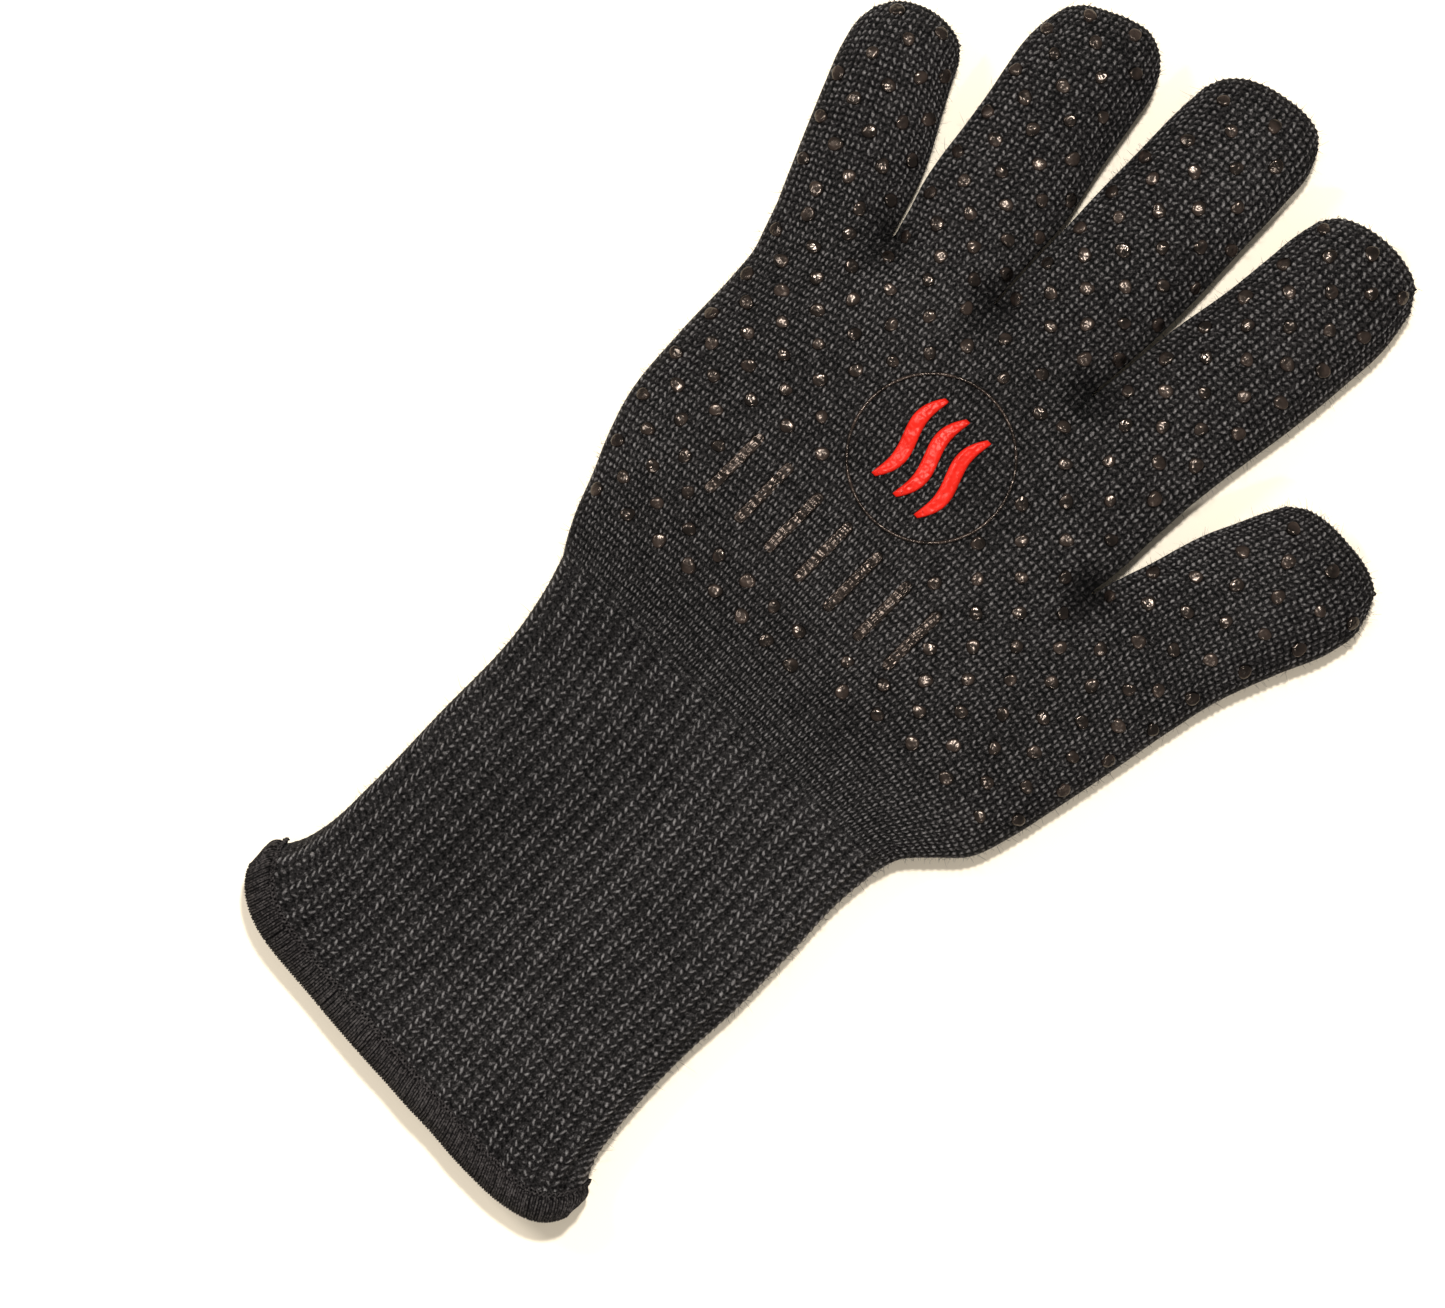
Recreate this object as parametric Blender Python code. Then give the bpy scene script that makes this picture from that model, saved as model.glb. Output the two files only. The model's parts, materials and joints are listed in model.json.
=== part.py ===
"""A knitted heat resistant glove, right hand, lying flat with its palm up.

Frame: +Z up, +Y from the cuff to the fingertips, +X towards the thumb. The origin is the middle of the
wrist, on the face that the glove rests on. Lengths are in millimetres here, and MM turns them into metres.

The outer glove is one knitted tube with five stalls. It is split where a hand bends it: stiff lengths of
tube are joined by flex bands, the stretches of knit that fold. A cotton liner lies inside it.
"""

import math

import bmesh
import bpy

MM = 0.001

# Driving dimensions
THICKNESS = 16.0  # the glove lying flat, over both layers
SHELL_WALL = 2.2  # outer knit
LINER_WALL = 1.5  # cotton liner
GAP = 0.3  # between pieces that touch
SIDE_GAP = 0.8  # each side of a stall where it leaves the palm
ARC_STEPS = 6  # steps round each half-round side of a tube
PALM_ARC_STEPS = 4

HINGE_HEIGHT = 10.0  # finger hinges, above the resting face
WRIST_HINGE_Y = -12.0
WRIST_BAND_HALF = 5.6
KNUCKLE_BAND = 5.6  # from a knuckle hinge to the stiff length above it, on the palm face
MIDDLE_BAND = 6.6
TIP_BAND = 3.7
BACK_BAND = 1.6  # the same on the back, where a band is narrow

CUFF_HALF_WIDTH = 52.3
MOUTH_HALF_WIDTH = 60.0
CUFF_FLARE_START = -96.0
MOUTH_Y = -131.0  # where the cuff meets its hem, on the centreline
MOUTH_RISE = 18.0  # how far the mouth's corners stand back from its middle
MOUTH_POWER = 6.5
MOUTH_TILT = -0.03
HEM_WIDTH = 6.0
HEM_PROUD = 0.5  # hem thickness beyond the shell, on each face
HEM_GAP = 0.9  # between the shell and its hem, lengthways, where the mouth slopes

# Palm outline, from the wrist to the little finger and from the thumb to the wrist
LITTLE_FINGER_EDGE = [(-62, -6.1), (-66.5, 4), (-71, 16), (-74.5, 29), (-76.8, 44), (-77.6, 60), (-78.2, 76)]
THUMB_EDGE = [(78.6, 53), (75.4, 38), (71.5, 24), (66.3, 11), (60, 1.5), (55.2, -6.1)]
FORK_EDGE = [(44.2, 101), (43.2, 89), (43.1, 79.5)]  # between the forefinger and the thumb

# Each stall: the two ends of its root on the palm, its tip, its half width at the root and further out,
# the length of its rounded end, its hinges' distances from the root, and the angle of their line from +X.
# The fingers' hinge lines are nearly parallel, so that the stalls don't run into each other as they close.
STALLS = {
    "little": dict(left=(-83.6, 93.2), right=(-56.2, 104.9), tip=(-91.8, 150.9), half=(14.0, 15.2),
                   tip_round=9.0, hinges=(6.5, 23.5, 38.0), hinge_angle=4.0),
    "ring": dict(left=(-56.2, 104.9), right=(-25, 111), tip=(-53.8, 185.3), half=(15.0, 17.2),
                 tip_round=14.0, hinges=(6.5, 33.0, 55.0), hinge_angle=0.0),
    "middle": dict(left=(-25, 111), right=(8.5, 115), tip=(-9.5, 200.0), half=(16.0, 18.4),
                   tip_round=15.0, hinges=(8.0, 39.0, 63.0), hinge_angle=0.0),
    "fore": dict(left=(8.5, 115), right=(45, 112.5), tip=(35.3, 191.2), half=(17.0, 18.5),
                 tip_round=15.0, hinges=(7.0, 34.0, 55.5), hinge_angle=0.0),
    "thumb": dict(left=(43, 78), right=(80.4, 65.1), tip=(81.8, 130.6), half=(18.6, 20.0),
                  tip_round=15.0, hinges=(7.0, 35.0), hinge_angle=-18.8),
}
FULL_WIDTH_AT = 20.0  # distance from the root where a stall reaches its full width
TIP_HALF_WIDTH = 3.0  # of the flat at a stall's very end
TIP_STEPS = 5

# Silicone print on the palm
EMBLEM_CENTRE = (-8.0, 71.0)
EMBLEM_RADIUS = 21.5
EMBLEM_LINE = 0.9
PRINT_HEIGHT = 0.9
WAVE_LENGTH = 26.0
WAVE_SWAY = 1.6
WAVE_HALF_WIDTH = 2.1
WAVE_SPACING = 7.4
WAVE_STEPS = 14
BAR_COUNT = 7
BAR_SPACING = 10.4
BAR_SIZE = (3.0, 20.0)
BAR_CENTRE = (-10.5, 35.5)
ROUND_STEPS = 5

KNIT = ("knit", (0.017, 0.016, 0.016), 0.92)
LINER = ("liner", (0.03, 0.03, 0.032), 0.95)
THREAD = ("hem_thread", (0.024, 0.021, 0.021), 0.75)
RED_PRINT = ("red_silicone", (0.85, 0.035, 0.02), 0.3)
BLACK_PRINT = ("black_silicone", (0.012, 0.01, 0.009), 0.28)


# ---- Blender helpers ----

def clear_scene():
    for old in list(bpy.data.objects):
        bpy.data.objects.remove(old)


def material(name, colour, roughness):
    found = bpy.data.materials.get(name)
    if found:
        return found
    made = bpy.data.materials.new(name)
    made.use_nodes = True
    shader = made.node_tree.nodes["Principled BSDF"]
    shader.inputs["Base Color"].default_value = (*colour, 1.0)
    shader.inputs["Roughness"].default_value = roughness
    return made


def add_object(name, bm, finish, cutter=False):
    """Turns a bmesh, in millimetres, into a scene object."""
    bmesh.ops.recalc_face_normals(bm, faces=bm.faces)
    bmesh.ops.scale(bm, vec=(MM, MM, MM), verts=bm.verts)
    mesh = bpy.data.meshes.new(name)
    bm.to_mesh(mesh)
    bm.free()
    obj = bpy.data.objects.new(name, mesh)
    bpy.context.scene.collection.objects.link(obj)
    mesh.materials.append(material(*finish))
    mesh.shade_smooth()
    mesh.set_sharp_from_angle(angle=math.radians(40))
    if cutter:
        obj.hide_render = True
        obj.display_type = "WIRE"
    return obj


def cut(obj, cutter):
    modifier = obj.modifiers.new("hollow", "BOOLEAN")
    modifier.operation = "DIFFERENCE"
    modifier.solver = "EXACT"
    modifier.object = cutter


# ---- plan-view geometry ----

def lerp(a, b, t):
    return tuple(p + (q - p) * t for p, q in zip(a, b))


def add(point, direction, distance):
    return tuple(p + d * distance for p, d in zip(point, direction))


def towards(a, b):
    """The unit vector from a to b, in plan."""
    length = math.dist(a, b)
    return tuple((q - p) / length for p, q in zip(a, b))


def side_profile(steps):
    """(height, inset) pairs from the resting face to the top of a half-round side, per unit radius."""
    angles = [math.pi * (i / steps - 0.5) for i in range(steps + 1)]
    return [(math.sin(a), 1 - math.cos(a)) for a in angles]


# ---- bodies made of rings ----

def bridge(bm, low, high):
    count = len(low)
    for i in range(count):
        j = (i + 1) % count
        bm.faces.new((low[i], low[j], high[j], high[i]))


def ring_verts(bm, points):
    return [bm.verts.new(p) for p in points]


def solid_of_rings(rings):
    """A closed body through rings of points, capped at both ends."""
    bm = bmesh.new()
    loops = [ring_verts(bm, ring) for ring in rings]
    for low, high in zip(loops, loops[1:]):
        bridge(bm, low, high)
    bm.faces.new(loops[0])
    bm.faces.new(loops[-1])
    return bm


def tube_of_rings(outer, inner, closed_end=False):
    """A wall between an outer and an inner set of rings, open at the first ring and, unless closed_end,
    at the last."""
    bm = bmesh.new()
    out = [ring_verts(bm, ring) for ring in outer]
    into = [ring_verts(bm, ring) for ring in inner]
    for loops in (out, into):
        for low, high in zip(loops, loops[1:]):
            bridge(bm, low, high)
    bridge(bm, out[0], into[0])
    if closed_end:
        bm.faces.new(out[-1])
        bm.faces.new(into[-1])
    else:
        bridge(bm, out[-1], into[-1])
    return bm


def slot_section(half, inset, squeeze=1.0):
    """(across, height) points round a flat tube with half-round sides, set in from the outer face."""
    radius = (THICKNESS / 2 - inset) * squeeze
    flat = max(half - inset - radius, 0.2)
    points = []
    for side in (1, -1):
        for i in range(ARC_STEPS + 1):
            angle = math.pi * (i / ARC_STEPS - 0.5)
            across = side * (flat + radius * math.cos(angle))
            points.append((across, THICKNESS / 2 + side * radius * math.sin(angle)))
    return points


# ---- the palm ----

def palm_plan(inset, reach):
    """The palm's outline, as (point, inward direction, share of the side rounding). Sides move in by
    inset, and the open slots, at the wrist and at each stall, are pushed out by reach."""
    little, ring, middle, fore, thumb = (STALLS[name] for name in STALLS)
    fingers = [little["left"], little["right"], ring["right"], middle["right"], fore["right"]]
    wrist = (LITTLE_FINGER_EDGE[0], THUMB_EDGE[-1])
    root = lerp(thumb["left"], thumb["right"], 0.5)
    thumb_along = towards(root, thumb["tip"])

    def side_points(side, first_inward, last_inward):
        for i, point in enumerate(side):
            along = towards(side[max(i - 1, 0)], side[min(i + 1, len(side) - 1)])
            inward = (along[1], -along[0])
            moved = point
            if i == 0:
                inward, moved = first_inward or inward, add(moved, along, -reach)
            elif i == len(side) - 1 and last_inward:
                inward, moved = last_inward, add(moved, along, reach)
            plan.append((add(moved, inward, inset), inward, 1.0))

    plan = []
    side_points([*LITTLE_FINGER_EDGE, fingers[0]], towards(*wrist), towards(*fingers[:2]))
    for left, corner, right in zip(fingers, fingers[1:], fingers[2:]):
        along = towards(left, right)
        plan.append((add(corner, (-along[1], along[0]), reach), (0.0, 0.0), 0.0))
    side_points([fingers[4], *FORK_EDGE], towards(fingers[4], fingers[3]), None)
    inward = towards(thumb["left"], thumb["right"])
    corner = add(thumb["left"], inward, inset)
    if reach > 0:
        plan.append((corner, inward, 1.0))
    plan.append((add(corner, thumb_along, reach), inward, 1.0))
    side_points([thumb["right"], *THUMB_EDGE], towards(thumb["right"], thumb["left"]), towards(*wrist[::-1]))
    return plan


def palm_body(inset, reach):
    """The palm's outline as a closed body with half-round sides, set in from the outer face."""
    radius = THICKNESS / 2 - inset
    plan = palm_plan(inset, reach)
    rings = []
    for height, pull in side_profile(PALM_ARC_STEPS):
        z = THICKNESS / 2 + radius * height
        rings.append([(*add(point, inward, radius * pull * share), z) for point, inward, share in plan])
    return solid_of_rings(rings)


def make_palm(name, inset, wall, shorten, finish):
    obj = add_object(name, palm_body(inset, -shorten), finish)
    cut(obj, add_object(name + "_hollow", palm_body(inset + wall, 6.0), finish, cutter=True))
    return obj


# ---- the cuff ----

def mouth_line(across):
    """How far the cuff's mouth is from the wrist at this distance from the centreline."""
    share = min(abs(across) / MOUTH_HALF_WIDTH, 1.0)
    return MOUTH_Y + MOUTH_RISE * share**MOUTH_POWER + MOUTH_TILT * across


def cuff_ring(share, inset, beyond=0.0):
    """A ring round the cuff: share 0 is its top end and 1 the mouth. The rings bow with the mouth."""
    top = WRIST_HINGE_Y - WRIST_BAND_HALF
    middle_y = top + (MOUTH_Y - top) * share
    flare = max(0.0, (CUFF_FLARE_START - middle_y) / (CUFF_FLARE_START - MOUTH_Y))
    neck = (1 - share) ** 12
    half = CUFF_HALF_WIDTH + (MOUTH_HALF_WIDTH - CUFF_HALF_WIDTH) * flare**2 + 2.2 * neck
    shift = -1.6 * neck
    ring = []
    for across, z in slot_section(half, inset):
        y = top + (mouth_line(across) - top) * share
        ring.append((across + shift, y - beyond, z))
    return ring


CUFF_SHARES = (0.0, 0.06, 0.16, 0.45, 0.7, 0.82, 0.91, 1.0)


def make_cuff(name, inset, wall, top_trim, mouth_trim, finish):
    outer = [cuff_ring(s, inset) for s in CUFF_SHARES]
    inner = [cuff_ring(s, inset + wall) for s in CUFF_SHARES]
    for rings in (outer, inner):
        rings[0] = [(x, y - top_trim, z) for x, y, z in rings[0]]
        rings[-1] = [(x, y + mouth_trim, z) for x, y, z in rings[-1]]
    return add_object(name, tube_of_rings(outer, inner), finish)


def make_hem():
    """The overlocked edge: a ring as wide as the fold of thread, a little prouder than the knit."""
    depth = SHELL_WALL + GAP + LINER_WALL + HEM_PROUD
    rings = [
        (cuff_ring(1.0, -HEM_PROUD, HEM_GAP), cuff_ring(1.0, depth - HEM_PROUD, HEM_GAP)),
        (cuff_ring(1.0, -HEM_PROUD, HEM_WIDTH * 0.7), cuff_ring(1.0, depth - HEM_PROUD, HEM_WIDTH * 0.7)),
        (cuff_ring(1.0, 0.9, HEM_WIDTH), cuff_ring(1.0, depth - HEM_PROUD - 1.3, HEM_WIDTH)),
    ]
    rings = [
        [[(x, y, z + HEM_PROUD) for x, y, z in ring] for ring in pair]
        for pair in rings
    ]
    return add_object("cuff_hem", tube_of_rings([r[0] for r in rings], [r[1] for r in rings]), THREAD)


def make_wrist_band():
    """The knit between the cuff and the palm."""
    low = WRIST_HINGE_Y - WRIST_BAND_HALF + GAP
    high = WRIST_HINGE_Y + WRIST_BAND_HALF - GAP
    top_edge = (LITTLE_FINGER_EDGE[0][0] - 0.2, THUMB_EDGE[-1][0] + 0.2)
    outer, inner = [], []
    for inset, rings in ((0.0, outer), (SHELL_WALL, inner)):
        rings.append([(x, low, z) for x, _, z in cuff_ring(0.0, inset)])
        centre = sum(top_edge) / 2
        half = (top_edge[1] - top_edge[0]) / 2
        rings.append([(centre + across, high, z) for across, z in slot_section(half, inset)])
    return add_object("wrist_flex", tube_of_rings(outer, inner), KNIT)


# ---- the stalls ----

class Stall:
    """A finger or thumb stall: a straight flat tube from its root on the palm to its tip."""

    def __init__(self, name, left, right, tip, half, tip_round, hinges, hinge_angle):
        self.name = name
        self.left, self.right = left, right
        self.root = lerp(left, right, 0.5)
        self.length = math.dist(self.root, tip)
        self.along = towards(self.root, tip)
        self.across = (self.along[1], -self.along[0])
        self.half = half
        self.tip_round = tip_round
        self.hinges = hinges
        self.skew = math.tan(math.radians(hinge_angle) - math.atan2(self.across[1], self.across[0]))

    def half_width(self, distance):
        share = min(max(distance / FULL_WIDTH_AT, 0.0), 1.0)
        return self.half[0] + (self.half[1] - self.half[0]) * share

    def point(self, distance, across, z):
        x, y = add(add(self.root, self.along, distance), self.across, across)
        return (x, y, z)

    def leaning_ring(self, on_back, on_palm, inset):
        """A ring that meets the back and the palm face at these distances from the root, and runs
        parallel to the hinges."""
        middle = (on_back + on_palm) / 2
        return [
            self.point(on_back + (on_palm - on_back) * z / THICKNESS + across * self.skew, across, z)
            for across, z in slot_section(self.half_width(middle), inset)
        ]

    def root_ring(self, inset):
        """A ring along the slot in the palm, which isn't quite square to the stall."""
        half = self.half_width(0.0)
        ring = []
        for across, z in slot_section(half, inset):
            x, y = lerp(self.left, self.right, 0.5 + across / math.dist(self.left, self.right))
            ring.append((*add((x, y), self.along, GAP), z))
        return ring

    def tip_rings(self, inset):
        """Rings round the rounded end."""
        rings = []
        for i in range(TIP_STEPS + 1):
            angle = math.radians(80) * i / TIP_STEPS
            distance = self.length - self.tip_round + (self.tip_round - inset) * math.sin(angle)
            half = self.half[1] - (self.half[1] - TIP_HALF_WIDTH) * (1 - math.cos(angle))
            squeeze = max(math.cos(angle), 0.2) ** 0.6
            rings.append([self.point(distance, across, z) for across, z in slot_section(half, inset, squeeze)])
        return rings

    def make_length(self, name, start, end, inset, wall, finish):
        """A stiff length between two leaning ends, each (distance on the back, distance on the palm)."""
        outer = [self.leaning_ring(*start, inset), self.leaning_ring(*end, inset)]
        inner = [self.leaning_ring(*start, inset + wall), self.leaning_ring(*end, inset + wall)]
        return add_object(name, tube_of_rings(outer, inner), finish)

    def make_tip(self, name, start, inset, wall, finish):
        outer = [self.leaning_ring(*start, inset), *self.tip_rings(inset)]
        inner = [self.leaning_ring(*start, inset + wall), *self.tip_rings(inset + wall)]
        return add_object(name, tube_of_rings(outer, inner, closed_end=True), finish)

    def make_root_band(self, name, end):
        outer = [self.root_ring(0.0), self.leaning_ring(*end, 0.0)]
        inner = [self.root_ring(SHELL_WALL), self.leaning_ring(*end, SHELL_WALL)]
        return add_object(name, tube_of_rings(outer, inner), KNIT)


def band_reach(index, count):
    """How far a band runs past its hinge on the palm face."""
    if index == 0:
        return KNUCKLE_BAND
    return TIP_BAND if index == 2 else MIDDLE_BAND


def make_stall(name, data):
    stall = Stall(name, **data)
    count = len(stall.hinges)
    lengths = ["proximal", "middle", "tip"] if count == 3 else ["proximal", "tip"]
    bands = ["knuckle", "middle", "tip"] if count == 3 else ["knuckle", "tip"]
    liner_inset = SHELL_WALL + GAP
    for i, hinge in enumerate(stall.hinges):
        reach = band_reach(i, count)
        start = (hinge + BACK_BAND, hinge + reach)
        band_end = (start[0] - GAP, start[1] - GAP)
        if i == 0:
            stall.make_root_band(f"{name}_{bands[i]}_flex", band_end)
        else:
            band_start = (hinge - BACK_BAND + GAP, hinge - reach + GAP)
            stall.make_length(f"{name}_{bands[i]}_flex", band_start, band_end, 0.0, SHELL_WALL, KNIT)
        if i == count - 1:
            stall.make_tip(f"{name}_{lengths[i]}_shell", start, 0.0, SHELL_WALL, KNIT)
            stall.make_tip(f"{name}_{lengths[i]}_liner", start, liner_inset, LINER_WALL, LINER)
        else:
            next_reach = band_reach(i + 1, count)
            end = (stall.hinges[i + 1] - BACK_BAND, stall.hinges[i + 1] - next_reach)
            stall.make_length(f"{name}_{lengths[i]}_shell", start, end, 0.0, SHELL_WALL, KNIT)
            stall.make_length(f"{name}_{lengths[i]}_liner", start, end, liner_inset, LINER_WALL, LINER)


# ---- the silicone print ----

def flat_prism(points, low, high):
    return solid_of_rings([[(x, y, z) for x, y in points] for z in (low, high)])


def make_emblem():
    """A thin circle with three heat waves in it, standing on the palm."""
    low = THICKNESS + GAP
    high = low + PRINT_HEIGHT
    steps = 40
    cx, cy = EMBLEM_CENTRE

    def circle(radius, z):
        turns = [2 * math.pi * i / steps for i in range(steps)]
        return [(cx + radius * math.cos(a), cy + radius * math.sin(a), z) for a in turns]

    radii = (EMBLEM_RADIUS, EMBLEM_RADIUS - EMBLEM_LINE)
    rings = tube_of_rings(*[[circle(r, low), circle(r, high)] for r in radii])
    add_object("emblem_ring", rings, BLACK_PRINT)
    for i, name in enumerate(("left", "centre", "right")):
        x0 = cx + (i - 1) * WAVE_SPACING
        left, right = [], []
        for k in range(WAVE_STEPS + 1):
            t = k / WAVE_STEPS
            sway = WAVE_SWAY * math.sin(2 * math.pi * t)
            half = WAVE_HALF_WIDTH * max(math.sin(math.pi * (0.06 + 0.88 * t)), 0.0) ** 0.5
            y = cy + (t - 0.5) * WAVE_LENGTH
            left.append((x0 + sway - half, y))
            right.append((x0 + sway + half, y))
        add_object(f"heat_wave_{name}", flat_prism(left + right[::-1], low, high), RED_PRINT)


def make_grip_bars():
    """A row of plain round-ended bars across the heel of the hand."""
    half, length = BAR_SIZE[0] / 2, BAR_SIZE[1] / 2 - BAR_SIZE[0] / 2
    low = THICKNESS + GAP
    for i in range(BAR_COUNT):
        cx = BAR_CENTRE[0] + (i - (BAR_COUNT - 1) / 2) * BAR_SPACING
        points = []
        for end, turn in ((1, 0.0), (-1, math.pi)):
            for k in range(ROUND_STEPS + 1):
                angle = turn + math.pi * k / ROUND_STEPS
                x = cx + half * math.cos(angle)
                points.append((x, BAR_CENTRE[1] + end * length + half * math.sin(angle)))
        add_object(f"grip_bar_{i + 1}", flat_prism(points, low, low + PRINT_HEIGHT), BLACK_PRINT)


def main():
    clear_scene()
    liner_inset = SHELL_WALL + GAP
    make_palm("palm_shell", 0.0, SHELL_WALL, 0.0, KNIT)
    make_palm("palm_liner", liner_inset, LINER_WALL, 0.6, LINER)
    make_wrist_band()
    make_cuff("cuff_shell", 0.0, SHELL_WALL, 0.0, 0.0, KNIT)
    make_cuff("cuff_liner", liner_inset, LINER_WALL, 0.6, 0.6, LINER)
    make_hem()
    for name, data in STALLS.items():
        make_stall(name, data)
    make_emblem()
    make_grip_bars()


main()
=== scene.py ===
"""The looks of a knitted heat resistant glove, right hand, lying flat with its palm up.

The outer knit is one grid of stitches, wales across and courses along, that runs from the cuff's mouth to
the fingertips in two layers. Outlines are in millimetres from a point near the middle of the palm, and
SHIFT moves them to the frame's origin. Every stitch has its own relief in the mesh.
"""

import itertools
import json
import math

import bpy
import numpy as np
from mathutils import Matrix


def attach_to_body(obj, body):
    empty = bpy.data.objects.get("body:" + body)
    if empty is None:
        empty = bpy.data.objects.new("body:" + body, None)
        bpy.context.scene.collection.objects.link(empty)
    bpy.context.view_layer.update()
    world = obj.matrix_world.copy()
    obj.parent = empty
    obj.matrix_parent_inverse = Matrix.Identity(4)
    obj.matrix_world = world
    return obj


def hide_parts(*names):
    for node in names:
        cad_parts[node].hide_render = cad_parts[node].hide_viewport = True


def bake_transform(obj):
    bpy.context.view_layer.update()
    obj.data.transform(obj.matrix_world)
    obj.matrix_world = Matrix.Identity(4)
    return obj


MM = 0.001
SHIFT = np.array([-6.15, 9.0])

# The knit
STEPS = 4  # mesh steps per stitch, each way
WALES = (12, 12, 12, 12, 15)  # little, ring, middle, forefinger and thumb
CUFF_COURSES = 54
THUMB_FORK = CUFF_COURSES + 44
FINGER_FORK = CUFF_COURSES + 60
STALL_COURSES = {"little": 31, "ring": 43, "middle": 48, "fore": 44, "thumb": 34}
EDGE_SQUEEZE = 0.06  # how much closer the wales look where the knit turns under
TIP_SQUEEZE = 0.6  # the same for the courses at a stall's tip
JOIN_COURSES = 25.0  # below the thumb's fork, where the thumb's strip takes up the palm's slope
TURN_COURSES = 9.0  # below a fork, where the knit starts to turn under
MOUTH_BOW = 14.2  # mm by which the middle of the cuff's mouth bows out

MID = 8.0  # height of the fold between the layers
HALF_THICK = 7.9
ROUND_REACH = 15.0  # how far in from an edge the surface is still rising

rng = np.random.default_rng(11)


# ---- the frame ----

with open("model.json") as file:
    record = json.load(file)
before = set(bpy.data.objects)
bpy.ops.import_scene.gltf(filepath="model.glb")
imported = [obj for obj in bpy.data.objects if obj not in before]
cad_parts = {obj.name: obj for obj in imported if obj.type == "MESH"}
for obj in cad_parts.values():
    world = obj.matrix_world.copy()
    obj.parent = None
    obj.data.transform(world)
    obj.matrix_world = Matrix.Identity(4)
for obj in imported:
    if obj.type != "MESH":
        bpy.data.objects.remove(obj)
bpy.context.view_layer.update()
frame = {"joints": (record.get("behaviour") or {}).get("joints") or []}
joints = {j["name"]: j for j in frame["joints"]}


# ---- outlines ----

CUFF_LEFT = [(-49.5, -121), (-46.3, -115.5), (-44.6, -109), (-44, -95), (-44.5, -70), (-45.5, -40),
             (-48, -28), (-50.5, -20)]
CUFF_RIGHT = [(66.5, -128), (63, -121.5), (61.5, -113), (60.4, -100), (60.3, -85), (61.2, -70), (61, -50),
              (60.5, -32), (61.5, -21)]
PALM_LINES = [
    [(-50.5, -20), (-55.6, -10), (-59.5, 0), (-63, 8), (-67, 20), (-69, 40), (-69.7, 60), (-70.5, 68),
     (-72.5, 74), (-75, 81), (-76.8, 85)],
    [(-29.2, -20.2), (-31.5, -5), (-36, 15), (-40.5, 40), (-44.5, 65), (-48, 95)],
    [(-7.8, -20.4), (-8.6, 0), (-10.5, 25), (-13, 50), (-15.8, 76), (-18, 101)],
    [(13.5, -20.6), (13.8, 0), (14.2, 30), (14.8, 60), (15.2, 80), (15.5, 102)],
    [(34.8, -20.8), (37, -5), (41, 15), (45, 35), (48.5, 53), (50.5, 67)],
    [(61.5, -21), (64, -14), (68.5, -9), (76, -1), (79.5, 9), (82, 20), (86, 40), (88.5, 54)],
]
WEB_LINE = [(50.5, 67), (51.5, 74), (52.1, 88), (52.8, 100)]
STALLS = {
    "little": dict(
        left=[(-76.8, 85), (-79, 90), (-83.3, 100), (-87.5, 110), (-91.3, 120), (-92.7, 127), (-92, 132)],
        tip=[(-92, 132), (-89, 137.3), (-83.5, 141), (-76, 142.4), (-70.3, 141), (-66.7, 137.5)],
        right=[(-48, 95), (-50.4, 103), (-52.7, 110), (-55, 115.5), (-59, 123), (-63.3, 131), (-66.7, 137.5)],
    ),
    "ring": dict(
        left=[(-48, 95), (-50.2, 103), (-52.4, 110), (-53.8, 117), (-55, 126), (-56.7, 137), (-58.3, 145),
              (-59.6, 153), (-59.4, 160), (-58, 166)],
        tip=[(-58, 166), (-55, 169.8), (-50, 172.8), (-44, 175.5), (-38.3, 176.6), (-33.3, 174.8),
             (-29.2, 171)],
        right=[(-18, 101), (-18.8, 115), (-19.8, 130), (-21.3, 137), (-22.9, 145), (-25, 157.5), (-26.7, 166),
               (-29.2, 171)],
    ),
    "middle": dict(
        left=[(-18, 101), (-18.8, 115), (-19.2, 128), (-19.6, 137), (-19.8, 153), (-20, 167.5), (-19.4, 176)],
        tip=[(-19.4, 176), (-17.5, 181), (-14, 184.8), (-9.5, 187.3), (-3, 189), (4, 189.6), (9, 188.5),
             (12.5, 185)],
        right=[(15.5, 102), (16.5, 113), (17.1, 124), (17.3, 137), (16.7, 153), (16, 170), (15.2, 179),
               (12.5, 185)],
    ),
    "fore": dict(
        left=[(15.5, 102), (16.7, 115), (17.8, 127), (20.8, 145), (22.1, 157.5), (22.9, 166), (24.4, 172.5)],
        tip=[(24.4, 172.5), (27.5, 177), (32, 179.6), (38, 181.1), (45, 181.3), (53, 178.8), (57.6, 172.5)],
        right=[(52.8, 100), (54, 110), (55.5, 120), (57, 130), (58.8, 148), (59.4, 162), (57.6, 172.5)],
    ),
    "thumb": dict(
        left=[(50.5, 67), (52, 73), (55, 82), (60, 98), (63, 104.5), (66, 111), (69, 116.5)],
        tip=[(69, 116.5), (73.5, 120), (79, 121.4), (86, 121.4), (94, 120.4), (100, 117.5), (103, 112)],
        right=[(88.5, 54), (92, 69.5), (97.8, 85), (103.4, 98.5), (104.6, 106), (103, 112)],
    ),
}
NAMES = list(STALLS)
COLUMNS = [w * STEPS for w in WALES]
KNOTS = np.concatenate([[0], np.cumsum(COLUMNS)])


def smooth(x):
    x = np.clip(x, 0.0, 1.0)
    return x * x * (3 - 2 * x)


def unit(v):
    """The same directions, one unit long."""
    return v / np.maximum(np.linalg.norm(v, axis=-1, keepdims=True), 1e-9)


def closed(values):
    """The values with the first one again at the end."""
    return np.concatenate([values, values[:1]])


def running_length(points):
    """How far along a polyline each of its points lies."""
    return np.concatenate([[0], np.cumsum(np.linalg.norm(np.diff(points, axis=0), axis=1))])


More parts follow.
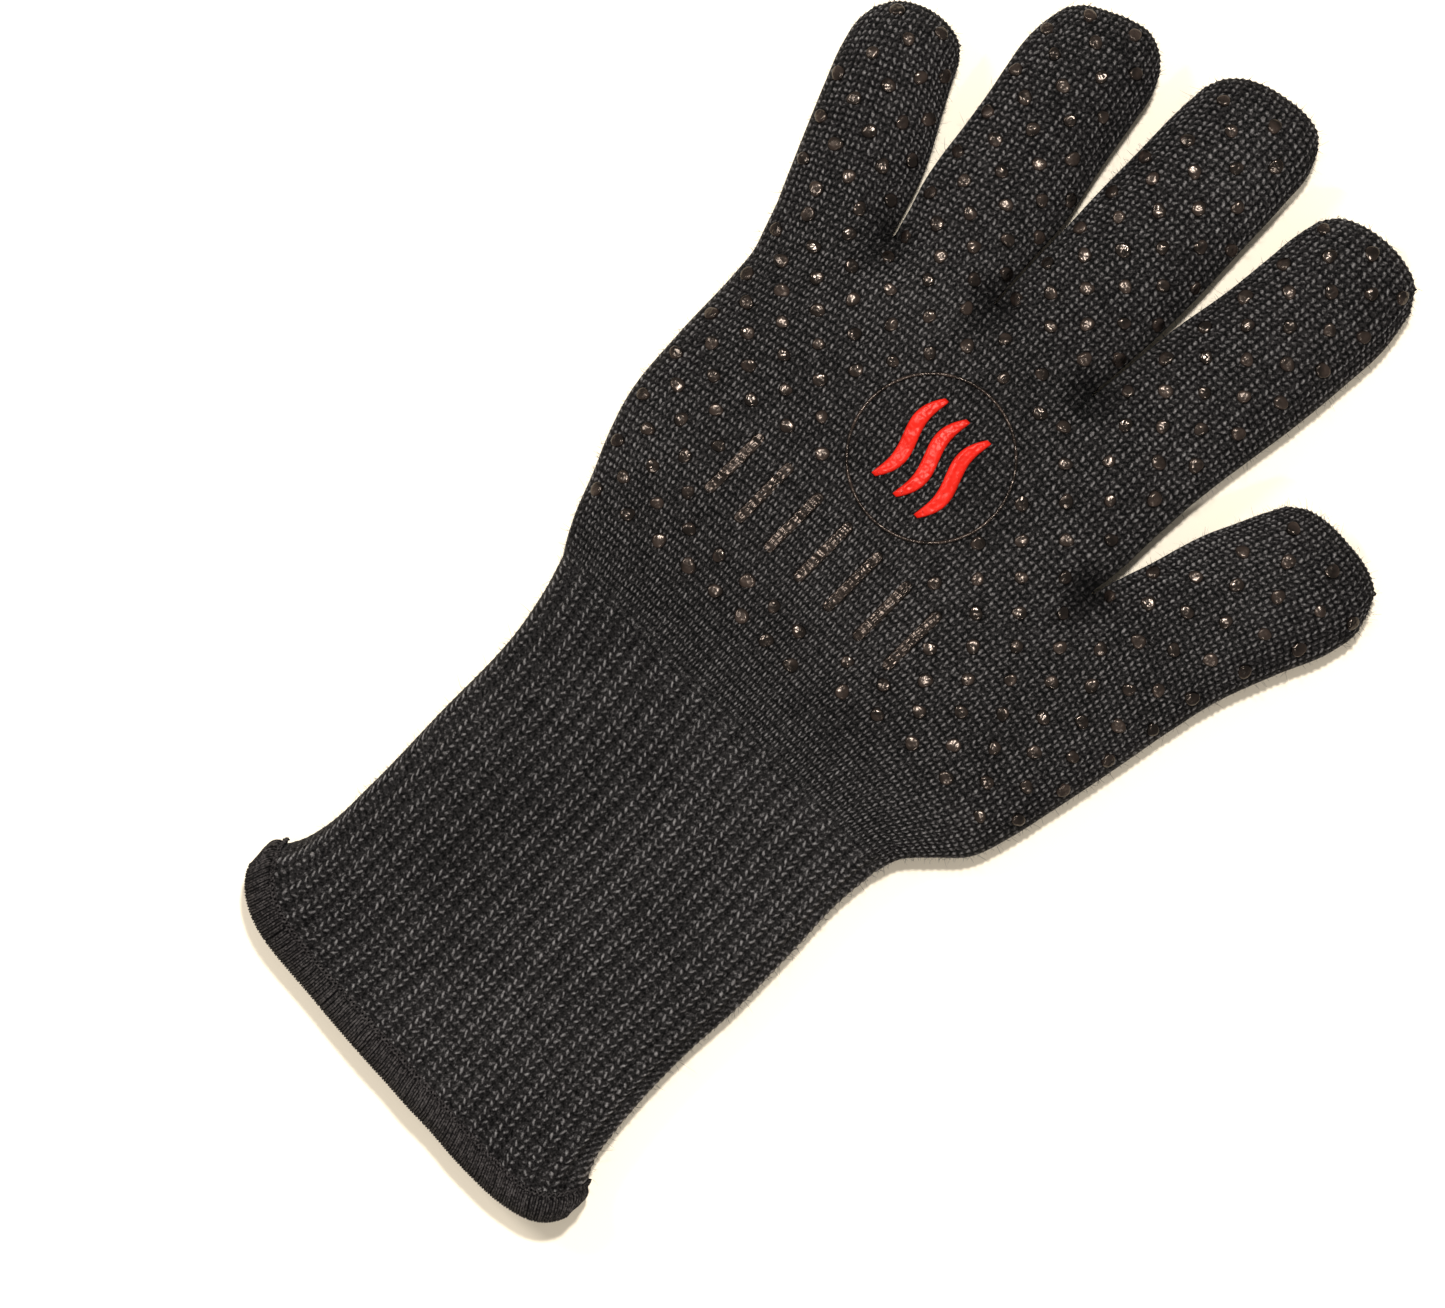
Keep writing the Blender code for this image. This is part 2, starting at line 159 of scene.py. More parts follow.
def cubic(u, h, a, slope_a, b, slope_b):
    """A curve from a to b over a length h with these slopes at its ends, at u from 0 to 1."""
    return (
        (2 * u**3 - 3 * u**2 + 1) * a
        + (u**3 - 2 * u**2 + u) * h * slope_a
        + (3 * u**2 - 2 * u**3) * b
        + (u**3 - u**2) * h * slope_b
    )


def smooth_line(points, steps=8):
    """A smooth curve through points, as a fine polyline."""
    p = np.array(points, float)
    t = running_length(p)
    slope = np.gradient(p, t, axis=0)
    u = np.linspace(0, 1, steps, endpoint=False)[:, None]
    out = [cubic(u, t[i + 1] - t[i], p[i], slope[i], p[i + 1], slope[i + 1]) for i in range(len(p) - 1)]
    return np.concatenate([*out, p[-1:]])


def along_line(points, shares):
    """Points at these shares of a smooth curve's length."""
    fine = smooth_line(points)
    length = running_length(fine)
    at = shares * length[-1]
    return np.stack([np.interp(at, length, fine[:, i]) for i in range(2)], axis=-1)


def even(count):
    return np.linspace(0, 1, count)


def squeezed(share, left, right):
    """Moves evenly spaced shares across a strip closer to the edges that turn under."""
    a = EDGE_SQUEEZE
    return share - left * a * share * (1 - share) ** 4 + right * a * (1 - share) * share**4


# ---- the plan of the cuff and palm ----

CUFF_ROWS = CUFF_COURSES * STEPS
THUMB_ROW = THUMB_FORK * STEPS
FORK_ROW = FINGER_FORK * STEPS
ROWS = FORK_ROW + 1


def boundary_lines():
    """Each strip boundary's point at every row; the last line stops at the thumb's fork."""
    cuff_left = along_line(CUFF_LEFT, even(CUFF_ROWS + 1))
    cuff_right = along_line(CUFF_RIGHT, even(CUFF_ROWS + 1))
    lines = []
    for k, line in enumerate(PALM_LINES):
        share = KNOTS[k] / KNOTS[-1]
        cuff = cuff_left * (1 - share) + cuff_right * share
        end_row = THUMB_ROW if k >= 4 else FORK_ROW
        palm = along_line(line, even(end_row - CUFF_ROWS + 1))
        parts = [cuff, palm[1:]]
        if k == 4:
            parts.append(along_line(WEB_LINE, even(FORK_ROW - THUMB_ROW + 1))[1:])
        if k == 5:
            parts.append(np.full((FORK_ROW - THUMB_ROW, 2), np.nan))
        lines.append(np.concatenate(parts))
    return np.array(lines)


def body_plan():
    """Plan position of every grid point of the cuff and palm: rows by columns by 2."""
    lines = boundary_lines()
    course = np.arange(ROWS) / STEPS
    gap = np.diff(KNOTS)
    secant = np.diff(lines, axis=0) / gap[:, None, None]
    join = smooth((THUMB_FORK - course) / JOIN_COURSES)[:, None]
    slope = np.zeros_like(lines)
    slope[0] = secant[0]
    for k in (1, 2, 3):
        slope[k] = (secant[k - 1] * gap[k] + secant[k] * gap[k - 1]) / (gap[k] + gap[k - 1])
    slope[4] = secant[3] * (1 - join / 2) + np.nan_to_num(secant[4]) * join / 2
    slope[5] = secant[4]
    fork, thumb_fork = (
        smooth((course - (last - TURN_COURSES)) / TURN_COURSES) for last in (FINGER_FORK, THUMB_FORK)
    )
    one = np.ones(ROWS)
    turned = [one, fork, fork, fork, thumb_fork, one]
    plan = np.zeros((ROWS, KNOTS[-1] + 1, 2))
    for k in range(5):
        u = squeezed(even(COLUMNS[k] + 1), turned[k][:, None], turned[k + 1][:, None])[:, :, None]
        ends = (lines[k], slope[k], lines[k + 1], slope[k + 1])
        strip = cubic(u, gap[k], *(end[:, None, :] for end in ends))
        last = THUMB_ROW + 1 if k == 4 else ROWS
        plan[:last, KNOTS[k] : KNOTS[k + 1] + 1] = strip[:last]
    across = np.linspace(-1, 1, KNOTS[-1] + 1)
    bow = MOUTH_BOW * (1 - np.abs(across) ** 8) ** 0.7
    down = (1 - np.minimum(course / CUFF_COURSES, 1.0)) ** 1.2
    plan[:, :, 1] -= down[:, None] * bow[None, :]
    return plan


def stall_plan(name, bottom):
    """Plan position of a stall's grid points, from its bottom row on the palm to its tip."""
    data = STALLS[name]
    v = even(STALL_COURSES[name] * STEPS + 1)
    v = v + TIP_SQUEEZE * (1 - v) * v**14
    u = squeezed(even(len(bottom)), 1.0, 1.0)
    left = along_line(data["left"], v)[:, None, :]
    right = along_line(data["right"], v)[:, None, :]
    top = along_line(data["tip"], u)[None, :, :]
    low = bottom[None, :, :]
    v, u = v[:, None, None], u[None, :, None]
    corners = (
        (1 - u) * (1 - v) * low[:, :1] + u * (1 - v) * low[:, -1:]
        + (1 - u) * v * top[:, :1] + u * v * top[:, -1:]
    )
    return (1 - v) * low + v * top + (1 - u) * left + u * right - corners


# ---- heights ----

def edge_pieces():
    """Line segments along every edge where the front and back layers meet."""
    lines = [CUFF_LEFT, CUFF_RIGHT, PALM_LINES[0], PALM_LINES[5], WEB_LINE]
    for data in STALLS.values():
        lines += data.values()
    fine = [smooth_line(line, 3) for line in lines]
    return np.concatenate([line[:-1] for line in fine]), np.concatenate([line[1:] for line in fine])


def distance_to(points, starts, ends):
    flat = points.reshape(-1, 2)
    best = np.full(len(flat), 1e9)
    for a, b in zip(starts, ends):
        d = b - a
        t = np.clip(((flat - a) @ d) / max(d @ d, 1e-9), 0, 1)
        gap = flat - a - t[:, None] * d
        best = np.minimum(best, np.einsum("ij,ij->i", gap, gap))
    return np.sqrt(best).reshape(points.shape[:-1])


EDGES = edge_pieces()
# Creases that run down into the palm from each fork: start, direction, length, depth, half width
CREASES = [
    ((-48, 95), (0.22, -1), 23, 4.4, 5.0),
    ((-18, 101), (0.05, -1), 22, 4.2, 4.8),
    ((15.5, 102), (-0.03, -1), 23, 4.2, 4.8),
    ((50.5, 67), (-0.10, -1), 23, 4.2, 5.0),
]


def creased(plan):
    """How deep the creases are at each plan position."""
    total = np.zeros(plan.shape[:-1])
    for start, way, length, depth, width in CREASES:
        way = unit(np.array(way))
        off = plan - np.array(start)
        t = off @ way
        side = off[..., 0] * way[1] - off[..., 1] * way[0]
        narrow = width * (0.55 + 0.45 * np.exp(-np.maximum(t, 0) / 9))
        fade = np.exp(-np.maximum(t, 0) / (length * 0.55)) * smooth(1 - t / length)
        total += depth * np.exp(-((side / narrow) ** 2)) * smooth((t + 6) / 6) * fade
    return total


def rolling(xy, seed, low, high, waves=7):
    """A gentle unevenness between about -1 and 1."""
    local = np.random.default_rng(seed)
    total = np.zeros(xy.shape[:-1])
    for _ in range(waves):
        turn, phase = local.uniform(0, math.tau, 2)
        length = local.uniform(low, high)
        along = xy[..., 0] * math.cos(turn) + xy[..., 1] * math.sin(turn)
        total += np.sin(along * math.tau / length + phase)
    return total / math.sqrt(waves / 2) * 0.5


FRONT_ROUND, BACK_ROUND = 2.4, 3.2  # how soon each layer rises from its edge
# The front's unevenness: seed, size, shortest and longest wave, and how near an edge it fades
UNEVEN = [(3, 0.55, 26.0, 60.0, 10.0), (4, 0.28, 9.0, 18.0, 6.0)]


def surface(plan, front):
    """Adds the height of the front or back layer to plan positions."""
    e = distance_to(plan, *EDGES)
    x = np.minimum(e / ROUND_REACH, 1.0)
    if front:
        uneven = sum(
            size * rolling(plan, seed, low, high) * smooth(e / near) for seed, size, low, high, near in UNEVEN
        )
        z = MID + HALF_THICK * (1 - (1 - x) ** FRONT_ROUND) ** 0.5 + (uneven - creased(plan))
    else:
        z = MID - HALF_THICK * (1 - (1 - x) ** BACK_ROUND) ** 0.5
    return np.concatenate([plan, z[..., None]], axis=-1)


# ---- stitches ----

LOOSE = rng.normal(0, 1, (220, 80))  # how loose each stitch is, by course and wale
# A yarn leg as seen from outside: mm between the two legs of a stitch, lean, half length, half width
PLAIN_LEG = (1.2, math.radians(18), 1.07, 0.45)
RIB_LEG = (0.85, math.radians(33), 1.12, 0.44)
PLAIN_PLACE = 0.46  # of the way from the middle of a plain stitch to its side
PLAIN_DEPTH, RIB_DEPTH = 0.7, 0.5  # of the gaps round a leg
RIB_HALF = 2.7  # from a rib's middle to its groove's
RIB_LOW = 2.1  # from a rib's middle to the sunk legs beside it
RIB_SCALE = 12 / 13  # the cuff has fewer, wider wales than the palm
BACK_WALES = 78  # the back's wales are numbered from here
COURSE = 2.0


def leg(x, y, lean, half_length, half_width):
    along = x * math.sin(lean) + y * math.cos(lean)
    across = x * math.cos(lean) - y * math.sin(lean)
    return np.clip(1 - (along / half_length) ** 2 - (across / half_width) ** 2, 0, 1)


def relief(column, row):
    """How far each grid point lies below the tops of the stitches, in mm, and how high it is in its own
    stitch, from 0 to 1."""
    wale, course = column / STEPS, row / STEPS
    loose = 1 + 0.12 * LOOSE[row // STEPS, column // STEPS]
    y = (course % 1.0 - 0.5) * COURSE
    gap, lean, length, width = PLAIN_LEG
    x = (np.abs(2 * (wale % 1.0) - 1) - PLAIN_PLACE) * gap
    plain = leg(x, y, lean, length * 1.1, width * 1.25)
    plain_depth = PLAIN_DEPTH * (1 - plain * loose)

    w = np.abs(2 * ((wale * RIB_SCALE / 3) % 1.0) - 1) * RIB_HALF
    at, lean, length, width = RIB_LEG
    front = leg(w - at, y, lean, length * 1.1, width * 1.3)
    low = 0.6 * leg(w - RIB_LOW, y, -lean, length * 1.1, width * 1.3)
    recess = smooth((w - 1.35) / 0.7)
    rib = np.maximum(front, low)
    rib_depth = recess + 0.25 * (1 - smooth(w / 0.5)) + RIB_DEPTH * (1 - rib * loose)

    ribbed = smooth((CUFF_COURSES + 3 - course) / 4.0)
    depth = ribbed * rib_depth + (1 - ribbed) * plain_depth
    high = ribbed * rib + (1 - ribbed) * plain
    return depth, high


# ---- the whole skin as one mesh, in arrays ----

def grid_quads(index, flip=False):
    """The corners of every cell of a grid of point numbers, over its last two axes."""
    a, b = index[..., :-1, :-1], index[..., :-1, 1:]
    c, d = index[..., 1:, 1:], index[..., 1:, :-1]
    return np.stack([d, c, b, a] if flip else [a, b, c, d], axis=-1).reshape(-1, 4)


def ring_quads(index):
    """The same for a grid whose last axis runs round and meets itself."""
    return grid_quads(np.concatenate([index, index[..., :1]], axis=-1))


class Skin:
    """Grid patches of two layers, with shared points where they join."""

    POINT_KEYS = ("points", "bare", "high", "stitch", "tone")

    def __init__(self):
        self.parts = {key: [] for key in (*self.POINT_KEYS, "quads", "owner")}
        self.count = 0

    def add_points(self, sheet, side, first=0):
        """Adds one layer's points, from its row first on, and gives their numbers."""
        for key in self.POINT_KEYS:
            values = sheet[key][side][first:]
            self.parts[key].append(values.reshape(-1, *values.shape[2:]))
        start = self.count
        self.count += len(self.parts["tone"][-1])
        return np.arange(start, self.count).reshape(values.shape[:2])

    def add_quads(self, index, owner, side):
        self.parts["quads"].append(grid_quads(index, side == 1))
        self.parts["owner"].append(owner.ravel())

    def close(self):
        for key, parts in self.parts.items():
            setattr(self, key, np.concatenate(parts))


def normals_of(sheet):
    return unit(np.cross(np.gradient(sheet, axis=1), np.gradient(sheet, axis=0)))


def layers(plan, column0, row0, rims):
    """Both layers of a patch, bare and with their stitches. rims marks the points that they share."""
    row, column = np.indices(plan.shape[:2])
    row, column = row + row0, column + column0
    depth, high = relief(column, row)
    bare = [surface(plan, True), surface(plan, False)]
    normal = [normals_of(bare[0]), -normals_of(bare[1])]
    both = normal[0] + normal[1]
    both[..., 2] = 0
    both = unit(both)
    for side in (0, 1):
        bare[side][rims, 2] = MID
        normal[side][rims] = both[rims]
    depth = depth * (0.55 + 0.45 * smooth(distance_to(plan, *EDGES) / 3.0))
    points = [bare[side] - normal[side] * depth[..., None] for side in (0, 1)]
    stitch = [np.stack([column / STEPS + BACK_WALES * side, row / STEPS], axis=-1) for side in (0, 1)]
    rows, columns = LOOSE.shape
    # Each stitch's own tone from how loose it is, less painted shade along the creases
    tone = 0.6 * LOOSE[(row // STEPS + 57) % rows, (column // STEPS + 31) % columns] - 1.7 * creased(plan)
    return {"points": points, "bare": bare, "normal": normal, "stitch": stitch,
            "high": [high] * 2, "tone": [tone] * 2}


plan = body_plan()
skin = Skin()

rims = np.zeros(plan.shape[:2], bool)
rims[:, 0] = True
rims[: THUMB_ROW + 1, KNOTS[5]] = True
rims[THUMB_ROW:, KNOTS[4]] = True
rims[FORK_ROW, KNOTS[1:4]] = True

# The body is two blocks: the whole width up to the thumb's fork, then the four fingers' part
LOWER = np.s_[: THUMB_ROW + 1]
UPPER = np.s_[THUMB_ROW:, : KNOTS[4] + 1]
lower = layers(plan[LOWER], 0, 0, rims[LOWER])
upper = layers(plan[UPPER], 0, THUMB_ROW, rims[UPPER])


# How far the knit bends on each side of a joint, in mm
REACH = {"wrist": 9.0, "knuckle": 5.9, "middle": 6.9, "tip": 5.4}
# Every piece of the outer skin, with the body that it rides on, or the two that it spans and their joint.
# The cuff reaches past the wrist's bend, and each stall is split where the knit keeps still between two
# bends.
PIECES = {"cuff_knit": ("palm", "cuff", "wrist"), "palm_knit": ("palm",)}
STANDS_FOR = {"cuff_knit": ("cuff_shell", "wrist_flex"), "palm_knit": ("palm_shell",)}  # CAD nodes


def stall_way(name):
    """The middle of a stall's root and the direction that it points in, in mm in the frame."""
    data = STALLS[name]
    root = (np.array(data["left"][0]) + np.array(data["right"][0])) / 2 + SHIFT
    hinges = [np.array(j["pos_m"][:2]) / MM for key, j in joints.items() if key.startswith(name + "_")]
    return root, unit(hinges[-1] - hinges[0])


def bend_of(joint):
    """Where the knit starts and stops bending at a joint, in mm in the frame."""
    at = np.array(joints[joint]["pos_m"][:2]) / MM
    stall, _, bend = joint.partition("_")
    way = stall_way(stall)[1] if bend else np.array([0.0, -1.0])
    reach = REACH[bend or joint]
    return at - way * reach, at + way * reach


CUFF_SPLIT = bend_of("wrist")[0][1] + 1.5  # a little past the bend


def face_centres(grid):
    return (grid[:-1, :-1] + grid[1:, 1:]) / 2 + SHIFT


index = np.zeros((2, ROWS, KNOTS[-1] + 1), int)
for side in (0, 1):
    index[side][LOWER] = skin.add_points(lower, side)
    index[side][UPPER][1:] = skin.add_points(upper, side, 1)
index[1][rims] = index[0][rims]
for side in (0, 1):
    for block in (LOWER, UPPER):
        owner = np.where(face_centres(plan[block])[..., 1] < CUFF_SPLIT, 0, 1)
        skin.add_quads(index[side][block], owner, side)

stall_grids = {}
for k, name in enumerate(NAMES):
    row0 = THUMB_ROW if name == "thumb" else FORK_ROW
    across = slice(KNOTS[k], KNOTS[k + 1] + 1)
    grid = stall_grids[name] = stall_plan(name, plan[row0, across])
    rim = np.zeros(grid.shape[:2], bool)
    rim[:, 0] = rim[:, -1] = rim[-1] = True
    stall = layers(grid, KNOTS[k], row0, rim)
    root, way = stall_way(name)
    ahead = (face_centres(grid) - root) @ way
    owner = np.zeros(ahead.shape, int)
    body, stopped = "palm", -math.inf
    for bend in ("knuckle", "tip") if name == "thumb" else ("knuckle", "middle", "tip"):
        start, end = bend_of(f"{name}_{bend}")
        owner[ahead >= ((start - root) @ way + stopped) / 2] = len(PIECES)
        stopped = (end - root) @ way
        parent, body = body, f"{name}_{'proximal' if bend == 'knuckle' else bend}"
        PIECES[f"{body}_knit"] = (parent, body, f"{name}_{bend}")
        STANDS_FOR[f"{body}_knit"] = (f"{body}_shell", f"{body}_liner", f"{name}_{bend}_flex")
    sheet = np.zeros((2, *grid.shape[:2]), int)
    for side in (0, 1):
        sheet[side, 0] = index[side, row0, across]
        sheet[side, 1:] = skin.add_points(stall, side, 1)
    rim[0] = False
    sheet[1][rim] = sheet[0][rim]
    for side in (0, 1):
        skin.add_quads(sheet[side], owner, side)

skin.close()
skin.points[:, :2] += SHIFT
skin.bare[:, :2] += SHIFT


def vertex_normals(points, quads):
    n = np.cross(points[quads[:, 2]] - points[quads[:, 0]], points[quads[:, 3]] - points[quads[:, 1]])
    total = [sum(np.bincount(quads[:, i], n[:, axis], len(points)) for i in range(4)) for axis in range(3)]
    return unit(np.stack(total, axis=1))


skin_normals = vertex_normals(skin.points, skin.quads)
bare_normals = vertex_normals(skin.bare, skin.quads)


# ---- materials ----

def set_inputs(node, values):
    """Sets constant values on a node's sockets."""
    for key, value in values.items():
        node.inputs[key].default_value = value


def new_material(name):
    mat = bpy.data.materials.new(name)
    mat.use_nodes = True
    return mat, Graph(mat.node_tree), mat.node_tree.nodes["Principled BSDF"]


class Value:
    """A shader value that can be added, multiplied and so on, so that patterns read as formulas."""

    def __init__(self, graph, socket):
        self.graph, self.socket = graph, socket

    def apply(self, operation, *others, clamp=False):
        made = self.graph.node("ShaderNodeMath", operation=operation, use_clamp=clamp)
        for slot, value in zip(made.inputs, (self, *others)):
            if isinstance(value, Value):
                self.graph.link(value.socket, slot)
            else:
                slot.default_value = value
        return Value(self.graph, made.outputs[0])

    def __add__(self, other):
        return self.apply("ADD", other)

    def __sub__(self, other):
        return self.apply("SUBTRACT", other)

    def __mul__(self, other):
        return self.apply("MULTIPLY", other)

    def fract(self):
        return self.apply("FRACT")

    def floor(self):
        return self.apply("FLOOR")

    def size(self):
        return self.apply("ABSOLUTE")

    def square(self):
        return self.apply("MULTIPLY", self)

    def clamped(self):
        return self.apply("ADD", 0.0, clamp=True)

    def ranged(self, low, high, to_low=0.0, to_high=1.0, kind="LINEAR"):
        made = self.graph.node("ShaderNodeMapRange", interpolation_type=kind)
        self.graph.link(self.socket, made.inputs["Value"])
        set_inputs(made, {"From Min": low, "From Max": high, "To Min": to_low, "To Max": to_high})
        return Value(self.graph, made.outputs["Result"])


class Graph:
    """Short names for building a material's nodes."""

    def __init__(self, tree):
        self.tree = tree

    def node(self, kind, **settings):
        made = self.tree.nodes.new(kind)
        for key, value in settings.items():
            setattr(made, key, value)
        return made

    def link(self, a, b):
        self.tree.links.new(a, b)

    def noise(self, vector, scale, detail, roughness):
        made = self.node("ShaderNodeTexNoise")
        set_inputs(made, {"Scale": scale, "Detail": detail, "Roughness": roughness})
        self.link(vector, made.inputs["Vector"])
        return Value(self, made.outputs["Fac"])

    def attribute(self, name):
        return Value(self, self.node("ShaderNodeAttribute", attribute_name=name).outputs["Fac"])

    def random(self, x, y):
        """A random number for each whole x and y."""
        both = self.node("ShaderNodeCombineXYZ")
        self.link(x.socket, both.inputs["X"])
        self.link(y.socket, both.inputs["Y"])
        made = self.node("ShaderNodeTexWhiteNoise", noise_dimensions="2D")
        self.link(both.outputs["Vector"], made.inputs["Vector"])
        return Value(self, made.outputs["Value"])

    def ramp(self, value, stops):
        made = self.node("ShaderNodeValToRGB")
        elements = made.color_ramp.elements
        while len(elements) < len(stops):
            elements.new(0.5)
        for element, (at, colour) in zip(elements, stops):
            element.position = at
            element.color = (*colour, 1.0)
        self.link(value.socket, made.inputs["Fac"])
        return made.outputs["Color"]

    def bump(self, height, strength, distance):
        made = self.node("ShaderNodeBump")
        set_inputs(made, {"Strength": strength, "Distance": distance})
        self.link(height.socket, made.inputs["Height"])
        return made.outputs["Normal"]


def shader_leg(x, y, lean, half_length, half_width):
    along = x * math.sin(lean) + y * math.cos(lean)
    across = x * math.cos(lean) - y * math.sin(lean)
    left = (along * (1 / half_length)).square() * -1.0 + 1.0
    return (left - (across * (1 / half_width)).square()).clamped()


def stitch_pattern(g, place):
    """The height of the yarn in the knit, from 0 in the gaps to 1 and scaled for painted light and shade on
    the sides of wales and ribs, with a random number for each leg and the ribs' base tone with its painted
    shade.
    """
    split = g.node("ShaderNodeSeparateXYZ")
    g.link(g.node("ShaderNodeUVMap", uv_map="stitches").outputs["UV"], split.inputs["Vector"])
    wale, course = Value(g, split.outputs["X"]), Value(g, split.outputs["Y"])
    ribbed = course.ranged(CUFF_COURSES - 1, CUFF_COURSES + 3, 1.0, 0.0, "SMOOTHSTEP")
    smooth_part = ribbed * -1.0 + 1.0
    chance = g.random((wale * 2.0).floor(), course.floor()) * smooth_part
    chance = chance + g.random((wale * (RIB_SCALE * 4 / 3)).floor() + 500.0, course.floor()) * ribbed
    wale = wale + g.noise(place, 420, 1, 0.5).ranged(0.3, 0.7, -0.05, 0.05)
    course = course + g.noise(place, 510, 1, 0.5).ranged(0.3, 0.7, -0.12, 0.12)
    y = (course.fract() - 0.5) * COURSE
    gap, lean, length, width = PLAIN_LEG
    x = ((wale.fract() * 2.0 - 1.0).size() - PLAIN_PLACE) * gap
    # Painted light and shade: the first half of each wale is paler and the second half darker, as if lit from
    # one side
    lit = wale.fract().apply("GREATER_THAN", 0.5) * -0.27 + 1.06
    plain = shader_leg(x, y, lean, length, width) * lit
    rib_place = (wale * (RIB_SCALE / 3)).fract()
    w = (rib_place * 2.0 - 1.0).size() * RIB_HALF
    right = rib_place.apply("GREATER_THAN", 0.5)
    at, lean, length, width = RIB_LEG
    # Painted light and shade: the legs on the left half of each rib are paler than those on its right half
    front = shader_leg(w - at, y, lean, length, width) * (right * -0.32 + 1.1)
    low = shader_leg(w - RIB_LOW + 0.04, y, -lean, length, width * 1.15) * (right * -0.12 + 0.5)
    rib = front.apply("MAXIMUM", low)
    # The cuff's base tone, less painted shade on the right half of each rib towards its groove
    rib_base_and_painted_shade = (right * w.ranged(1.5, 2.5, -0.01, -0.065) + 0.105) * ribbed
    return rib * ribbed + plain * smooth_part, chance, rib_base_and_painted_shade


def knit_material(name, dark, mid, light, stitched=False):
    """Yarn, near black, with painted shade in the gaps between stitches and a painted highlight on top of
    each leg, and furry with fine fibres.
    """
    mat, g, shader = new_material(name)
    place = g.node("ShaderNodeTexCoord").outputs["Object"]
    high, tone = g.attribute("high"), g.attribute("tone")
    fibre = g.noise(place, 2600, 3, 0.7)
    speck = g.noise(place, 1450, 2, 0.65)
    patch = g.noise(place, 28, 2, 0.5)
    if stitched:
        pattern, chance, rib_base_and_painted_shade = stitch_pattern(g, place)
        # Painted light and shade: the stitch pattern and the stitches' height make each leg's top paler and
        # the gaps darker
        shade = pattern * 0.52 + high * 0.1
        shade = shade * chance.ranged(0, 1, 0.82, 1.14) + rib_base_and_painted_shade + 0.02
    else:
        # Without stitches the shade follows high, which on the hem's threads is a painted highlight on their
        # outer side
        pattern = high
        shade = high * 0.5
    shade = shade + fibre.ranged(0.3, 0.7, -0.10, 0.12) + speck.ranged(0.3, 0.7, -0.23, 0.33)
    # The tone attribute adds the stitches' own tone and the painted shade of the creases
    shade = shade + tone * 0.03 + patch.ranged(0.3, 0.7, -0.04, 0.05)
    g.link(g.ramp(shade.clamped(), [(0.0, dark), (0.42, mid), (1.0, light)]), shader.inputs["Base Color"])
    g.link(fibre.ranged(0.3, 0.7, 0.75, 0.95).socket, shader.inputs["Roughness"])
    height = pattern * 0.7 + fibre * 0.22 + speck * 0.3
    g.link(g.bump(height, 0.8, 0.0005), shader.inputs["Normal"])
    set_inputs(shader, {"Sheen Weight": 0.012, "Sheen Roughness": 0.5, "Specular IOR Level": 0.06})
    return mat


def silicone_material(name, colour, deep, gloss, shine, tint):
    """Printed silicone: uneven gloss over a surface that follows the knit below it."""
    mat, g, shader = new_material(name)
    place = g.node("ShaderNodeTexCoord").outputs["Object"]
    lumps = g.noise(place, 520, 1, 0.5)
    patch = g.noise(place, 200, 2, 0.5)
    g.link(g.ramp(patch.ranged(0.42, 0.68), [(0.0, deep), (1.0, colour)]), shader.inputs["Base Color"])
    g.link(patch.ranged(0.3, 0.7, gloss, gloss + 0.12).socket, shader.inputs["Roughness"])
    g.link(g.bump(lumps, 0.9, 0.0004), shader.inputs["Normal"])
    set_inputs(shader, {"Specular IOR Level": shine, "Specular Tint": (*tint, 1.0)})
    return mat


# The knit's colours run from the painted shade of the gaps to the painted highlight on top of the legs
knit = knit_material("knit", (0.0008, 0.0007, 0.0006), (0.017, 0.0153, 0.0146), (0.17, 0.157, 0.15), True)
fibre_yarn = knit_material(
    "fibre_yarn", (0.004, 0.0035, 0.0032), (0.02, 0.018, 0.017), (0.08, 0.07, 0.065)
)
thread = knit_material(
    "hem_thread", (0.0008, 0.0006, 0.0006), (0.009, 0.0078, 0.0074), (0.08, 0.07, 0.066)
)
lining = knit_material("lining", (0.004, 0.004, 0.004), (0.014, 0.0135, 0.014), (0.05, 0.048, 0.05))
dots_silicone = silicone_material(
    "dot_silicone", (0.021, 0.014, 0.011), (0.002, 0.0015, 0.0013), 0.17, 0.36, (1.0, 0.8, 0.66)
)
black_silicone = silicone_material(
    "black_silicone", (0.008, 0.0055, 0.0045), (0.002, 0.0015, 0.0012), 0.22, 0.3, (1.0, 0.78, 0.64)
)
red_silicone = silicone_material(
    "red_silicone", (0.56, 0.012, 0.006), (0.45, 0.009, 0.004), 0.27, 0.12, (1.0, 0.7, 0.6)
)


# ---- objects ----

def add_object(name, data):
    obj = bpy.data.objects.new(name, data)
    bpy.context.scene.collection.objects.link(obj)
    return obj


def make_object(name, points, faces, mat, high=None, tone=0.0, normals=None, uv=None):
    """A mesh object from points in mm in the frame and arrays of faces. high and tone are for yarn."""
    mesh = bpy.data.meshes.new(name)
    loops = np.concatenate([group.ravel() for group in faces])
    sizes = np.concatenate([np.full(len(group), group.shape[1]) for group in faces])
    mesh.vertices.add(len(points))
    mesh.vertices.foreach_set("co", (points * MM).ravel())
    mesh.loops.add(len(loops))
    mesh.loops.foreach_set("vertex_index", loops)
    mesh.polygons.add(len(sizes))
    mesh.polygons.foreach_set("loop_start", np.cumsum(sizes) - sizes)
    mesh.update(calc_edges=True)
    mesh.validate()
    mesh.shade_smooth()
    if high is not None:
        for key, values in (("high", high), ("tone", tone)):
            values = np.broadcast_to(values, len(points)).astype(np.float32)
            mesh.attributes.new(key, "FLOAT", "POINT").data.foreach_set("value", values)
    if uv is not None:
        layer = mesh.uv_layers.new(name="stitches")
        layer.data.foreach_set("uv", uv[loops].astype(np.float32).ravel())
    if normals is not None:
        mesh.normals_split_custom_set_from_vertices(normals.tolist())
    mesh.materials.append(mat)
    return add_object(name, mesh)


